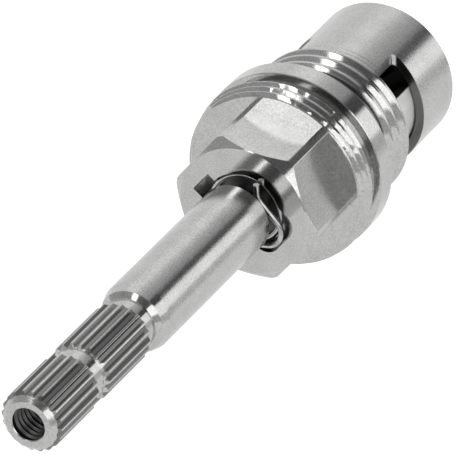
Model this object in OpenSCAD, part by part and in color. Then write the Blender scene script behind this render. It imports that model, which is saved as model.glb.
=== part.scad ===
// Ceramic disc tap cartridge with a long splined spindle.
// The axis lies along Y: the spindle points to -Y and the seal end to +Y.
// The collar's seat face lies at Y = 0, and a flat of the hexagon faces up, to +Z.

/* [Spline] */
// Diameter over the spline's crests
spline_d = 7.94; // [7.7:0.02:8.3]
// Number of spline teeth
spline_teeth = 20; // [16:1:24]
// Depth of the valleys between the teeth
spline_depth = 0.46; // [0.36:0.02:0.56]
// Width of the land on a tooth's crest
crest_w = 0.22; // [0.16:0.02:0.34]
// Width of the floor of a valley
valley_w = 0.42; // [0.3:0.02:0.5]
// Length of the front spline band, with the tip's chamfer
front_band_len = 10.4; // [8:0.1:14]
// Length of the rear spline band
rear_band_len = 11; // [8:0.1:14]
// Width of the turned groove between the bands
band_groove_len = 1.7; // [1.2:0.1:2.6]
// Chamfer at the spindle's tip
tip_chamfer = 1; // [0.6:0.1:1.2]
// Core diameter of the handle screw's tapped hole
screw_hole_d = 4.2; // [3.4:0.1:4.4]
// Depth of the tapped hole
screw_hole_depth = 14; // [8:1:20]

/* [Spindle] */
// Diameter of the smooth shank
shank_d = 9.1; // [8.8:0.05:9.4]
// Length of the smooth shank, from the clip groove to the shoulder
shank_len = 27.15; // [15:0.05:60]
// Length of the relief between the shoulder and the spline
shoulder_relief_len = 1.85; // [1.2:0.05:3]
// Depth of the turned grooves below the spline's valleys
undercut = 0.08; // [0.04:0.01:0.12]
// Radial height of the shoulder's shallow cone
shoulder_taper_depth = 0.41; // [0.3:0.01:0.6]
// Height of the shoulder's steep cone
shoulder_steep_len = 0.5; // [0.3:0.05:0.8]
// Height of the shoulder's shallow cone
shoulder_taper_len = 1.4; // [0.8:0.1:2.5]
// Diameter of the clip groove's floor
clip_neck_d = 5.5; // [5:0.1:5.8]
// Room for the clip above the hexagon's front face
clip_room_above = 2; // [1.6:0.1:3]
// Room for the clip below the hexagon's front face
clip_room_below = 1.6; // [1.6:0.1:2]
// Distance of the upper O-ring below the clip groove
upper_ring_drop = 3.4; // [2:0.1:4]
// Distance from the upper to the lower O-ring
ring_spacing = 6; // [4:0.1:7]
// Width across flats of the square that carries the driver
drive_square = 6.4; // [5.8:0.1:6.6]

/* [Hexagon and collar] */
// Width across the hexagon's flats
hex_af = 17; // [16.4:0.1:17.4]
// Diameter over the hexagon's turned corners
hex_corner_d = 19.1; // [18.9:0.05:19.3]
// Length of the hexagon, from the collar to the front face
hex_len = 8.3; // [7:0.1:10]
// Diameter of the flat front face
front_face_d = 16.6; // [15.6:0.1:16.8]
// Length of the chamfer in front of the hexagon's corners
corner_chamfer_len = 1.4; // [0.8:0.1:2]
// Diameter of the collar
collar_d = 24.2; // [23.6:0.1:25]
// Diameter of the collar's flat front face
collar_front_d = 22.4; // [21.6:0.1:22.8]
// Length of the collar's conical lead-in
lead_in_len = 2.4; // [1.6:0.1:3]
// Width of the relief groove around the collar
collar_groove_len = 2.15; // [1.6:0.05:3.5]
// Depth of the relief groove around the collar
collar_groove_depth = 0.9; // [0.3:0.05:1.1]
// Width of the smooth band behind the groove
collar_band_len = 2.95; // [2:0.05:4.5]
// Small edge break on the collar
edge_break = 0.15; // [0.1:0.05:0.25]

/* [Thread and sleeve] */
// Diameter of the relief behind the collar, where the seat O-ring sits
seat_relief_d = 18.8; // [18.4:0.1:19.2]
// Width of the relief behind the collar
seat_relief_len = 2.8; // [2:0.1:3]
// Outside diameter of the pipe thread
thread_d = 20.8; // [20.4:0.05:21]
// Length of the pipe thread
thread_len = 5.8; // [5:0.1:9]
// Distance between the pipe thread's crests
thread_pitch = 1.814; // [1.5:0.001:2.2]
// Depth of the pipe thread
thread_depth = 1.07; // [0.9:0.01:1.1]
// Width of a crest of the pipe thread
thread_crest_w = 0.3; // [0.2:0.05:0.5]
// Distance from the thread's front end to its first crest
first_crest = 1.45; // [0.9:0.05:1.8]
// Chamfer at both ends of the thread
thread_chamfer = 0.5; // [0.3:0.05:0.8]
// Outside diameter of the sleeve
sleeve_d = 18.75; // [18.5:0.05:19]
// Length of the sleeve, from the seat face to its end
sleeve_len = 22.5; // [22:0.1:28]
// Inside diameter of the sleeve
sleeve_bore_d = 16.48; // [16:0.02:16.6]
// Diameter of the spindle's bore in the body
bore_d = 9.86; // [9.6:0.02:10]
// Depth of the inner shoulder behind the seat face
inner_shoulder = 1.2; // [0.8:0.1:1.6]

/* [Flow windows] */
// Distance from the axis to the flat that a window is milled to
window_flat = 5.35; // [4.8:0.05:6.2]
// Length of a window along the axis
window_len = 5.5; // [4.5:0.1:6]
// Distance from the thread to the windows
window_gap = 0.3; // [0.2:0.1:1]
// Corner radius of a window
window_corner = 0.7; // [0.3:0.1:1.2]
// Direction of the first window around the axis
window_dir = 10; // [0:1:30]

/* [Clip mouth] */
// Wire diameter of the retaining clip
wire_d = 0.76; // [0.7:0.02:0.8]
// Bend radius of the clip's corner
clip_bend_r = 2.2; // [2:0.05:2.3]
// Reach of the clip's pocket from the axis
pocket_reach = 6.1; // [5.9:0.05:6.6]
// Radius of the pocket's corners
pocket_round = 1.9; // [1.2:0.1:2.2]
// Depth of the clip's pocket
pocket_depth = 1; // [0.95:0.05:1.2]
// Reach of the removal notch from the axis
notch_reach = 6.15; // [5.6:0.05:7]
// Width of the removal notch
notch_w = 3.2; // [2.4:0.1:4]
// Depth of the removal notch
notch_depth = 2; // [1.2:0.1:3]

/* [Driver and discs] */
// Thickness of the slip washer
slip_washer_t = 1; // [0.8:0.1:1.4]
// Thickness of the driver's hub
hub_t = 4; // [3.4:0.1:5]
// Width of the fixed disc's keys
key_w = 3.8; // [3:0.1:5]
// Depth of the fixed disc's key grooves in the sleeve
key_depth = 0.6; // [0.4:0.05:0.7]
// Diameter over the driver's legs
leg_d = 13; // [12.4:0.1:13.2]
// Thickness of a leg
leg_t = 2.1; // [1.6:0.1:2.2]
// Angle that a leg spans around the axis
leg_span = 60; // [40:1:64]
// Angle that a leg's outer shield spans around the axis
shield_span = 68; // [66:1:74]
// Direction of the first leg when the tap is closed
closed_dir = 0; // [-12:1:12]
// Angle between closed and open
quarter_turn = 90; // [90:1:96]
// Radial height of the stop ribs in the sleeve
rib_depth = 1.24; // [1:0.02:1.3]
// Angle that a stop lug spans
lug_span = 40; // [30:1:44]
// Height of a driving dog
dog_h = 1.3; // [0.9:0.1:1.6]
// Thickness of the turning disc
turning_disc_t = 2.4; // [2.2:0.1:3]
// Thickness of the fixed disc
fixed_disc_t = 2.4; // [2:0.1:3]
// Angle that a disc's flow opening spans
port_span = 78; // [60:1:84]
// Inner radius of the discs' flow openings
port_inner_r = 1.6; // [1.2:0.1:2]
// Outer radius of the discs' flow openings
port_r = 5.5; // [5:0.1:5.6]

/* [Seals] */
// Section of the spindle's O-rings
spindle_ring_section = 1.6; // [1.4:0.05:1.7]
// Section of the seat O-ring
seat_ring_section = 1.78; // [1.6:0.02:1.9]
// Thickness of the base seal
base_seal_t = 1.4; // [1.2:0.1:2]
// How far the base seal stands out of the sleeve
base_seal_proud = 1; // [0.6:0.1:1.1]
// Inside diameter of the base seal
base_seal_inner_d = 12.7; // [12.4:0.1:13]
// Wall of the support ring inside the base seal
support_wall = 0.7; // [0.5:0.05:0.8]

/* [Clearances] */
// Gap between the spindle's O-rings and the bore
ring_gap = 0.03; // [0.01:0.01:0.04]
// Room for an O-ring along its groove
ring_room = 0.3; // [0.2:0.05:0.4]
// Radial running clearance of the spindle in its bore
run_fit = 0.05; // [0.02:0.01:0.09]
// Gap at faces and grooves where pieces are only laid together
lay_gap = 0.02; // [0.01:0.01:0.04]
// Radial clearance of pieces that turn freely inside the sleeve
turn_gap = 0.3; // [0.2:0.05:0.4]
// Clearance between the clip's wire and its neighbours
wire_gap = 0.12; // [0.08:0.01:0.14]
// Angle left free at each stop
stop_gap = 1; // [0.5:0.5:2]

/* [Hidden] */
$fn = 96;

// Cutters run past the faces that they cut by this much
over = 1;
metal_colour = "Silver";
wire_colour = "LightSteelBlue";
rubber_colour = "DimGray";
ceramic_colour = "DarkSlateGray";
plastic_colour = "Gainsboro";

// Heights along the axis, counted from the seat face towards the spindle's tip
groove_low = collar_band_len;
groove_high = groove_low + collar_groove_len;
collar_high = groove_high + lead_in_len;
face = collar_high + hex_len;
journal_high = face - clip_room_below;
shank_low = face + clip_room_above;
shoulder = shank_low + shank_len;
rear_band_low = shoulder + shoulder_relief_len;
rear_band_high = rear_band_low + rear_band_len;
front_band_low = rear_band_high + band_groove_len;
tip = front_band_low + front_band_len;
upper_ring_high = journal_high - upper_ring_drop;
lower_ring_high = upper_ring_high - ring_spacing;

// Heights below the seat face
thread_high = -seat_relief_len;
thread_low = thread_high - thread_len;
window_high = thread_low - window_gap;
window_low = window_high - window_len;
hub_high = -inner_shoulder - slip_washer_t;
hub_low = hub_high - hub_t;
sleeve_low = -sleeve_len;
seal_low = sleeve_low - base_seal_proud;
seal_high = seal_low + base_seal_t;
fixed_disc_high = seal_high + fixed_disc_t;
turning_disc_low = fixed_disc_high + lay_gap;
turning_disc_high = turning_disc_low + turning_disc_t;

// Radii
spline_r = spline_d / 2;
spline_root_r = spline_r - spline_depth;
groove_r = spline_root_r - undercut;
shank_r = shank_d / 2;
shoulder_mid_r = shank_r - shoulder_taper_depth;
clip_neck_r = clip_neck_d / 2;
bore_r = bore_d / 2;
journal_r = bore_r - run_fit;
sleeve_bore_r = sleeve_bore_d / 2;
collar_r = collar_d / 2;
thread_r = thread_d / 2;
thread_root_r = thread_r - thread_depth;
collar_front_r = collar_front_d / 2;
spindle_ring_r = spindle_ring_section / 2;
seat_ring_r = seat_ring_section / 2;
turning_r = sleeve_bore_r - turn_gap;
stop_rib_r = sleeve_bore_r - rib_depth;
hub_r = stop_rib_r - turn_gap;
leg_r = leg_d / 2;
leg_inner_r = leg_r - leg_t;
dog_step = 0.2;
wire_r = wire_d / 2;

// Directions around the axis
mouth_dir = -30;
lug_dir = closed_dir + 90;
rib_span = 180 - lug_span - quarter_turn - 2 * stop_gap;
rib_dir = lug_dir + lug_span / 2 + quarter_turn + stop_gap + rib_span / 2;
dog_span = leg_span - 16;

// Lays a piece that was built along +Z onto the part's axis
module on_axis() {
    rotate([90, 0, 0]) children();
}

// A block of revolution that spans an angle around the axis
module sector(inner, outer, dir, span, low, high) {
    rotate([0, 0, dir - span / 2])
        rotate_extrude(angle = span)
            translate([inner, low])
                square([outer - inner, high - low]);
}

// Two sectors opposite each other
module sector_pair(inner, outer, dir, span, low, high) {
    for (half = [0, 180])
        sector(inner, outer, dir + half, span, low, high);
}

module tube(inner, outer, low, high) {
    rotate_extrude()
        translate([inner, low])
            square([outer - inner, high - low]);
}

module o_ring(inner, section_r, mid) {
    rotate_extrude()
        translate([inner + section_r, mid])
            circle(section_r);
}

// The four corners of one tooth and the valley after it
function tooth_points(index) =
    let (
        pitch = 360 / spline_teeth,
        mid = 60 + index * pitch,
        crest = asin(crest_w / 2 / spline_r),
        floor_half = asin(valley_w / 2 / spline_root_r),
        valley = mid + pitch / 2
    )
    [
        spline_r * [cos(mid - crest), sin(mid - crest)],
        spline_r * [cos(mid + crest), sin(mid + crest)],
        spline_root_r * [cos(valley - floor_half), sin(valley - floor_half)],
        spline_root_r * [cos(valley + floor_half), sin(valley + floor_half)]
    ];

module spline_section() {
    polygon([for (index = [0 : spline_teeth - 1]) each tooth_points(index)]);
}

// Turned outline that limits the spline: chamfered tip, the groove and the bevelled tooth ends
module spline_envelope() {
    clear_r = spline_r + over;
    bevel = spline_r - groove_r;
    rotate_extrude()
        polygon([
            [0, rear_band_low],
            [clear_r, rear_band_low],
            [clear_r, rear_band_high - bevel - over],
            [groove_r, rear_band_high],
            [groove_r, front_band_low],
            [clear_r, front_band_low],
            [clear_r, tip - tip_chamfer - over],
            [spline_r - tip_chamfer, tip],
            [0, tip]
        ]);
}

// Turned outline of the shank, the clip groove and the journal
module spindle_core() {
    rotate_extrude()
        polygon([
            [0, hub_high],
            [journal_r, hub_high],
            [journal_r, journal_high],
            [clip_neck_r, journal_high],
            [clip_neck_r, shank_low],
            [shank_r, shank_low],
            [shank_r, shoulder - shoulder_steep_len - shoulder_taper_len],
            [shoulder_mid_r, shoulder - shoulder_steep_len],
            [groove_r, shoulder],
            [groove_r, rear_band_low],
            [0, rear_band_low]
        ]);
}

module spindle_ring_groove(ring_high) {
    width = spindle_ring_section + ring_room;
    floor_r = bore_r - ring_gap - spindle_ring_section - lay_gap;
    tube(floor_r, journal_r + over, ring_high - width, ring_high);
}

module spindle() {
    rivet_r = drive_square / 2 + 0.7;
    rivet_h = 0.8;
    color(metal_colour) on_axis() difference() {
        union() {
            intersection() {
                translate([0, 0, rear_band_low])
                    linear_extrude(tip - rear_band_low)
                        spline_section();
                spline_envelope();
            }
            spindle_core();
            translate([-drive_square / 2, -drive_square / 2, hub_low])
                cube([drive_square, drive_square, hub_t]);
            translate([0, 0, hub_low - rivet_h])
                cylinder(h = rivet_h, r = rivet_r);
        }
        translate([0, 0, tip - screw_hole_depth])
            cylinder(h = screw_hole_depth + over, d = screw_hole_d);
        spindle_ring_groove(upper_ring_high);
        spindle_ring_groove(lower_ring_high);
    }
}

module spindle_ring(ring_high) {
    inner = bore_r - ring_gap - spindle_ring_section;
    color(rubber_colour) on_axis()
        o_ring(inner, spindle_ring_r, ring_high - spindle_ring_r - ring_room / 2);
}

module upper_o_ring() {
    spindle_ring(upper_ring_high);
}

module lower_o_ring() {
    spindle_ring(lower_ring_high);
}

// Hexagon with turned corners and a chamfered front, standing on the collar's front face
module hexagon() {
    intersection() {
        translate([0, 0, collar_high - over])
            cylinder(h = hex_len + over, d = hex_af / cos(30), $fn = 6);
        rotate_extrude()
            polygon([
                [0, collar_high - over],
                [hex_corner_d / 2, collar_high - over],
                [hex_corner_d / 2, face - corner_chamfer_len],
                [front_face_d / 2, face],
                [0, face]
            ]);
    }
}

// Half section of the pipe thread, as a row of ridges with chamfered ends
module thread_outline() {
    foot_w = thread_pitch - thread_crest_w;
    intersection() {
        polygon([
            [0, thread_low],
            [thread_r - thread_chamfer, thread_low],
            [thread_r, thread_low + thread_chamfer],
            [thread_r, thread_high - thread_chamfer],
            [thread_r - thread_chamfer, thread_high],
            [0, thread_high]
        ]);
        for (drop = [first_crest : thread_pitch : thread_len])
            translate([0, thread_high - drop])
                polygon([
                    [0, -foot_w / 2],
                    [thread_root_r, -foot_w / 2],
                    [thread_r, -thread_crest_w / 2],
                    [thread_r, thread_crest_w / 2],
                    [thread_root_r, foot_w / 2],
                    [0, foot_w / 2]
                ]);
    }
}

// Turned outline from the collar's front face to the sleeve's end
module turned_outside() {
    groove_floor_r = collar_r - collar_groove_depth;
    sleeve_r = sleeve_d / 2;
    sleeve_break = 2 * edge_break;
    rotate_extrude() {
        thread_outline();
        polygon([
            [0, sleeve_low],
            [sleeve_r - sleeve_break, sleeve_low],
            [sleeve_r, sleeve_low + sleeve_break],
            [sleeve_r, thread_low],
            [thread_root_r, thread_low],
            [thread_root_r, thread_high],
            [seat_relief_d / 2, thread_high],
            [seat_relief_d / 2, 0],
            [collar_r - edge_break, 0],
            [collar_r, edge_break],
            [collar_r, groove_low - edge_break],
            [collar_r - edge_break, groove_low],
            [groove_floor_r, groove_low],
            [groove_floor_r, groove_high],
            [collar_r - edge_break, groove_high],
            [collar_front_r, collar_high],
            [0, collar_high]
        ]);
    }
}

// Side view of a window's cutter, with its two inner corners rounded
module window_outline() {
    reach = sleeve_d / 2 + over - window_flat;
    translate([window_flat + window_corner, window_low])
        square([reach - window_corner, window_len]);
    translate([window_flat, window_low + window_corner])
        square([reach, window_len - 2 * window_corner]);
    for (end = [window_low + window_corner, window_high - window_corner])
        translate([window_flat + window_corner, end])
            circle(window_corner);
}

module window_cutter() {
    for (half = [0, 180])
        rotate([0, 0, window_dir + half])
            rotate([90, 0, 0])
                linear_extrude(sleeve_d, center = true)
                    window_outline();
}

// Pocket that takes the clip's corner, and the notch for levering the clip out
module mouth_recesses() {
    pocket_room = 0.52;
    pocket_side = clip_line + wire_r + pocket_room;
    pocket_far = 2.4;
    notch_side = 0.15;
    rotate([0, 0, mouth_dir]) {
        translate([0, 0, face - pocket_depth])
            linear_extrude(pocket_depth + over) {
                translate([0, -pocket_far])
                    square([pocket_reach - pocket_round, pocket_side + pocket_far]);
                translate([0, pocket_round - pocket_far])
                    square([pocket_reach, pocket_side + pocket_far - 2 * pocket_round]);
                for (end = [pocket_round - pocket_far, pocket_side - pocket_round])
                    translate([pocket_reach - pocket_round, end])
                        circle(pocket_round);
            }
        translate([-notch_reach, notch_side - notch_w, face - notch_depth])
            cube([notch_reach, notch_w, notch_depth + over]);
    }
}

module valve_body() {
    key_room = 0.2;
    rib_drop = 0.5;
    key_r = sleeve_bore_r + key_depth;
    color(metal_colour) on_axis() difference() {
        union() {
            turned_outside();
            hexagon();
        }
        translate([0, 0, -inner_shoulder - over])
            cylinder(h = face + inner_shoulder + 2 * over, r = bore_r);
        difference() {
            translate([0, 0, sleeve_low - over])
                cylinder(h = sleeve_len - inner_shoulder + over, r = sleeve_bore_r);
            sector_pair(stop_rib_r, sleeve_bore_r + over, rib_dir, rib_span, hub_low, hub_high - rib_drop);
        }
        intersection() {
            rotate([0, 0, lug_dir])
                translate([-key_r, -key_w / 2 - key_room / 2, sleeve_low - over])
                    cube([2 * key_r, key_w + key_room, fixed_disc_high - sleeve_low + over + key_room]);
            translate([0, 0, sleeve_low - over])
                cylinder(h = sleeve_len, r = key_r);
        }
        window_cutter();
        mouth_recesses();
    }
}

// The clip is one bent wire: an ear, a straight that runs in the spindle's groove,
// a corner that sits in the body's pocket, and a ring inside the mouth
clip_slope = -14;
clip_line = clip_neck_r + wire_r + wire_gap;
clip_ring_r = bore_r - wire_r - wire_gap;
clip_along = [cos(clip_slope), sin(clip_slope)];
clip_out = [-sin(clip_slope), cos(clip_slope)];
clip_corner_x = pocket_reach - wire_gap - wire_r - clip_bend_r;
clip_straight = (clip_corner_x - (clip_line - clip_bend_r) * clip_out.x) / clip_along.x;
clip_corner = (clip_line - clip_bend_r) * clip_out + clip_straight * clip_along;
clip_leave = atan2(-clip_corner.y, -clip_corner.x)
    + asin((clip_ring_r - clip_bend_r) / norm(clip_corner));
clip_ring_end = -482;
ear_back = 0.8;
ear_reach = [-1.15, 1.5];
ear_root = clip_line * clip_out - ear_back * clip_along;
ear_tip = ear_root + ear_reach;

// Heights of the wire, counted from the front face
tip_rise = 0.65;
ear_rise = 0.55;
straight_rise = 0.4;
corner_rise = -0.1;
leave_rise = -0.3;
ring_rise = wire_r + 0.1 - clip_room_below;

// A point on a clockwise bend, where the wire heads in a direction
function bend_point(centre, radius, heading) = centre + radius * [-sin(heading), cos(heading)];

function rise(point, height) = [point.x, point.y, face + height];

// Points of a curve from one height to another: plan points of equal spacing
function climb(points, from, to) =
    [for (i = [0 : len(points) - 1]) rise(points[i], from + (to - from) * i / (len(points) - 1))];

function bend_points(centre, radius, from, to, count) =
    [for (i = [0 : count]) bend_point(centre, radius, from + (to - from) * i / count)];

function quarter_curve(start, corner, end, count) =
    [for (i = [0 : count])
        let (t = i / count) (1 - t) * (1 - t) * start + 2 * t * (1 - t) * corner + t * t * end];

ear_bend_start = ear_root + 0.4 * ear_reach;
ear_bend_end = ear_root + 0.9 * clip_along;
ear_bend = quarter_curve(ear_bend_start, ear_root, ear_bend_end, 6);
clip_route = concat(
    [rise(ear_tip, tip_rise)],
    climb(ear_bend, ear_rise, straight_rise),
    climb(bend_points(clip_corner, clip_bend_r, clip_slope, clip_leave, 14), corner_rise, leave_rise),
    climb(bend_points([0, 0], clip_ring_r, clip_leave, clip_ring_end, 44), leave_rise, ring_rise)
);

function unit(v) = v / norm(v);

// One ring of points around the wire at a point of its route
function wire_ring(route, i, sides) =
    let (
        last = len(route) - 1,
        heading = unit(route[min(i + 1, last)] - route[max(i - 1, 0)]),
        side = unit(cross(heading, [0, 0, 1])),
        up = cross(side, heading)
    )
    [for (s = [0 : sides - 1])
        route[i] + wire_r * (cos(360 * s / sides) * side + sin(360 * s / sides) * up)];

module wire(route, sides) {
    last = len(route) - 1;
    points = [for (i = [0 : last]) each wire_ring(route, i, sides)];
    walls = [for (i = [0 : last - 1], s = [0 : sides - 1])
        let (next = (s + 1) % sides)
        [i * sides + s, i * sides + next, (i + 1) * sides + next, (i + 1) * sides + s]];
    start_cap = [for (s = [sides - 1 : -1 : 0]) s];
    end_cap = [for (s = [0 : sides - 1]) last * sides + s];
    polyhedron(points, concat(walls, [start_cap, end_cap]));
}

module retaining_clip() {
    color(wire_colour) on_axis()
        rotate([0, 0, mouth_dir])
            wire(clip_route, 10);
}

module slip_washer() {
    color(plastic_colour) on_axis()
        tube(journal_r + lay_gap, sleeve_bore_r - 2 * turn_gap,
            hub_high + lay_gap, -inner_shoulder - lay_gap);
}

// Hub with a square hole, two stop lugs and two legs that end in dogs
module disc_driver() {
    hole = drive_square + 2 * lay_gap;
    shield_overlap = 0.5;
    color(plastic_colour) on_axis() difference() {
        union() {
            translate([0, 0, hub_low])
                cylinder(h = hub_t, r = hub_r);
            sector_pair(leg_inner_r, turning_r, lug_dir, lug_span, hub_low, hub_high);
            sector_pair(leg_inner_r, leg_r, closed_dir, leg_span,
                turning_disc_high + lay_gap, hub_low + over);
            sector_pair(leg_inner_r + dog_step, leg_r - dog_step, closed_dir, dog_span,
                turning_disc_high - dog_h, hub_low);
            sector_pair(leg_r - shield_overlap, turning_r, closed_dir, shield_span,
                turning_disc_high + turn_gap, hub_low - turn_gap);
        }
        translate([-hole / 2, -hole / 2, hub_low - over])
            cube([hole, hole, hub_t + 2 * over]);
    }
}

// Ceramic disc with two flow openings between its legs' recesses
module turning_disc() {
    dog_room = 2;
    color(ceramic_colour) on_axis() difference() {
        translate([0, 0, turning_disc_low])
            cylinder(h = turning_disc_t, r = turning_r);
        sector_pair(port_inner_r, port_r, closed_dir + 90, port_span, turning_disc_low - over,
            turning_disc_high + over);
        sector_pair(leg_inner_r - turn_gap, turning_r + over, closed_dir, dog_span + dog_room,
            turning_disc_high - dog_h - lay_gap, turning_disc_high + over);
    }
}

module fixed_disc() {
    disc_r = sleeve_bore_r - turn_gap / 2;
    key_r = sleeve_bore_r + key_depth - turn_gap / 2;
    color(ceramic_colour) on_axis() difference() {
        union() {
            translate([0, 0, seal_high])
                cylinder(h = fixed_disc_t, r = disc_r);
            intersection() {
                rotate([0, 0, lug_dir])
                    translate([-key_r, -key_w / 2, seal_high])
                        cube([2 * key_r, key_w, fixed_disc_t]);
                translate([0, 0, seal_high])
                    cylinder(h = fixed_disc_t, r = key_r);
            }
        }
        sector_pair(port_inner_r, port_r, closed_dir, port_span, seal_high - over, fixed_disc_high + over);
    }
}

// Rubber ring with a lip on its outer edge
module base_seal() {
    inner = base_seal_inner_d / 2;
    outer = sleeve_bore_r - lay_gap;
    // The lip is no wider than a fifth of the ring's wall
    lip = min(0.35, (outer - inner) / 5);
    mid = (inner + outer) / 2;
    color(rubber_colour) on_axis()
        rotate_extrude()
            polygon([
                [inner, seal_low + lip],
                [inner + lip, seal_low],
                [mid - lip, seal_low],
                [mid, seal_low + lip],
                [mid + lip, seal_low],
                [outer - lip, seal_low],
                [outer, seal_low + lip],
                [outer, seal_high],
                [inner, seal_high]
            ]);
}

module seal_support_ring() {
    outer = base_seal_inner_d / 2 - lay_gap;
    set_back = 0.3;
    color(plastic_colour) on_axis()
        tube(outer - support_wall, outer, seal_low + set_back, seal_high);
}

module seat_o_ring() {
    color(rubber_colour) on_axis()
        o_ring(seat_relief_d / 2 + lay_gap, seat_ring_r, -seat_ring_r - lay_gap);
}

valve_body();
spindle();
retaining_clip();
upper_o_ring();
lower_o_ring();
slip_washer();
disc_driver();
turning_disc();
fixed_disc();
base_seal();
seal_support_ring();
seat_o_ring();
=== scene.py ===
"""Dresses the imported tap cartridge: turned and threaded metal, the bent clip, and a studio for it."""

import math
from types import SimpleNamespace
from typing import NamedTuple

import bmesh
import bpy
from bpy.props import FloatProperty, FloatVectorProperty, IntProperty, PointerProperty
from mathutils import Matrix, Vector, noise


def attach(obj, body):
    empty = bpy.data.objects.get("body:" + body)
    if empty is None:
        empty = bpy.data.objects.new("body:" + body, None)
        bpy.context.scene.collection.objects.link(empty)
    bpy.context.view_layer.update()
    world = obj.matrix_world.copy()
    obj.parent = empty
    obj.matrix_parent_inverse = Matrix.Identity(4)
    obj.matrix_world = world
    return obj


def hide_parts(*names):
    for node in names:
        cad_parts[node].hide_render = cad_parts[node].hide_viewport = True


bl_info = {
    "name": "Tap cartridge",
    "version": (1, 0, 0),
    "blender": (4, 5, 0),
    "location": "3D View > Sidebar > Cartridge",
    "description": "Models and finishes a ceramic disc tap cartridge on its packed frame",
    "category": "Object",
}

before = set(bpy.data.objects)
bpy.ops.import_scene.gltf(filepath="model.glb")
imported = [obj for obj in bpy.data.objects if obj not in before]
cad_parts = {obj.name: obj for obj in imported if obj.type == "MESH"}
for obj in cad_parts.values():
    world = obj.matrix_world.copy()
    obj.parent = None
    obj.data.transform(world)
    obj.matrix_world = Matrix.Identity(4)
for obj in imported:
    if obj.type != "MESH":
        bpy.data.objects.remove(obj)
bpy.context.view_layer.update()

MM = 0.001
SHARP_ANGLE = math.radians(10)
# Pieces are modelled along +Z in millimetres, from the seat face towards the spindle's tip
TO_FRAME = Matrix.Rotation(math.radians(90), 4, "X") @ Matrix.Scale(MM, 4)
# The clip's mouth is laid out with its pocket on +X, and then turned to its place on the body
TO_MOUTH = Matrix.Rotation(math.radians(-30), 4, "Z")
# Direction around the axis that faces the camera
CAMERA_SIDE = math.radians(60)
CAMERA_TURN = [math.radians(degrees) for degrees in (55.8904, -6.7924, 27.3215)]


def length(name, description, millimetres):
    """A size that a user may change, shown in the scene's length unit."""
    return FloatProperty(
        name=name, description=description, default=millimetres * MM, min=0.0, unit="LENGTH", precision=5
    )


def angle(name, description, degrees):
    return FloatProperty(
        name=name, description=description, default=math.radians(degrees), subtype="ANGLE", unit="ROTATION"
    )


def colour(name, description, grey):
    return FloatVectorProperty(
        name=name, description=description, default=grey, size=3, min=0.0, max=1.0, subtype="COLOR"
    )


def vector(name, description, default, subtype, unit):
    return FloatVectorProperty(
        name=name, description=description, default=default, size=3, subtype=subtype, unit=unit
    )


def share(name, description, default):
    return FloatProperty(
        name=name, description=description, default=default, min=0.0, max=1.0, subtype="FACTOR"
    )


class CartridgeBodySizes(bpy.types.PropertyGroup):
    """Sizes of the turned body; heights are counted from the collar's seat face."""

    face: length("Front face", "Height of the hexagon's front face", 15.8)
    face_radius: length("Front face radius", "Radius where the front face meets its chamfer", 8.36)
    hex_flat: length("Hexagon flat", "From the axis to a flat of the hexagon", 8.5)
    hex_corner: length("Hexagon corner", "Radius of the hexagon's turned corners", 9.55)
    corner_chamfer: length("Corner chamfer", "Length of the corners' chamfer", 1.0)
    collar_front: length("Collar front", "Height of the collar's front face", 7.5)
    collar_front_radius: length("Collar front radius", "Radius of the collar's front edge", 11.2)
    collar_radius: length("Collar radius", "Outer radius of the collar", 12.1)
    groove_high: length("Groove front", "Height of the collar groove's front edge", 5.1)
    groove_low: length("Groove rear", "Height of the collar groove's rear edge", 2.95)
    groove_radius: length("Groove radius", "Radius of the groove's floor", 11.2)
    groove_draft: length("Groove draft", "How far the groove's rear wall leans", 0.19)
    relief_radius: length("Seat relief radius", "Radius of the relief behind the seat face", 9.4)
    relief_length: length("Seat relief length", "Length of the relief behind the seat face", 2.8)
    seat_ring: length("Seat ring", "Radius of the seat O-ring's round section", 0.9)
    thread_radius: length("Thread radius", "Radius over the pipe thread's crests", 10.4)
    thread_root: length("Thread root", "Radius at the bottom of the pipe thread", 9.33)
    thread_length: length("Thread length", "Length of the pipe thread", 5.8)
    thread_pitch: length("Thread pitch", "Pitch of the pipe thread", 1.814)
    thread_flank: angle("Thread flank", "Angle between the pipe thread's two flanks", 64)
    thread_round: length("Thread rounding", "Radius of the pipe thread's rounded crests", 0.33)
    fine_pitch: length("Fine pitch", "Pitch of the collar's fine thread", 0.95)
    fine_depth: length("Fine depth", "Depth of the collar's fine thread", 0.4)
    sleeve_radius: length("Sleeve radius", "Outer radius of the sleeve", 9.375)
    sleeve_length: length("Sleeve length", "From the seat face to the sleeve's end", 22.5)
    sleeve_bore: length("Sleeve bore", "Inner radius of the sleeve", 8.24)
    bore: length("Spindle bore", "Radius of the spindle's bore", 4.93)
    inner_shoulder: length("Inner shoulder", "From the seat face to the chamber's shoulder", 1.2)
    window_flat: length("Window flat", "From the axis to a window's flat", 5.35)
    window_high: length("Window front", "From the seat face to a window's front", 8.9)
    window_length: length("Window length", "Length of a window along the axis", 5.5)
    window_corner: length("Window corner", "Radius of a window's inner corners", 0.7)
    window_turn: angle("Window direction", "Direction of the first window around the axis", 10)
    edge_break: length("Edge break", "Width of the small broken edges", 0.05)


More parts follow.
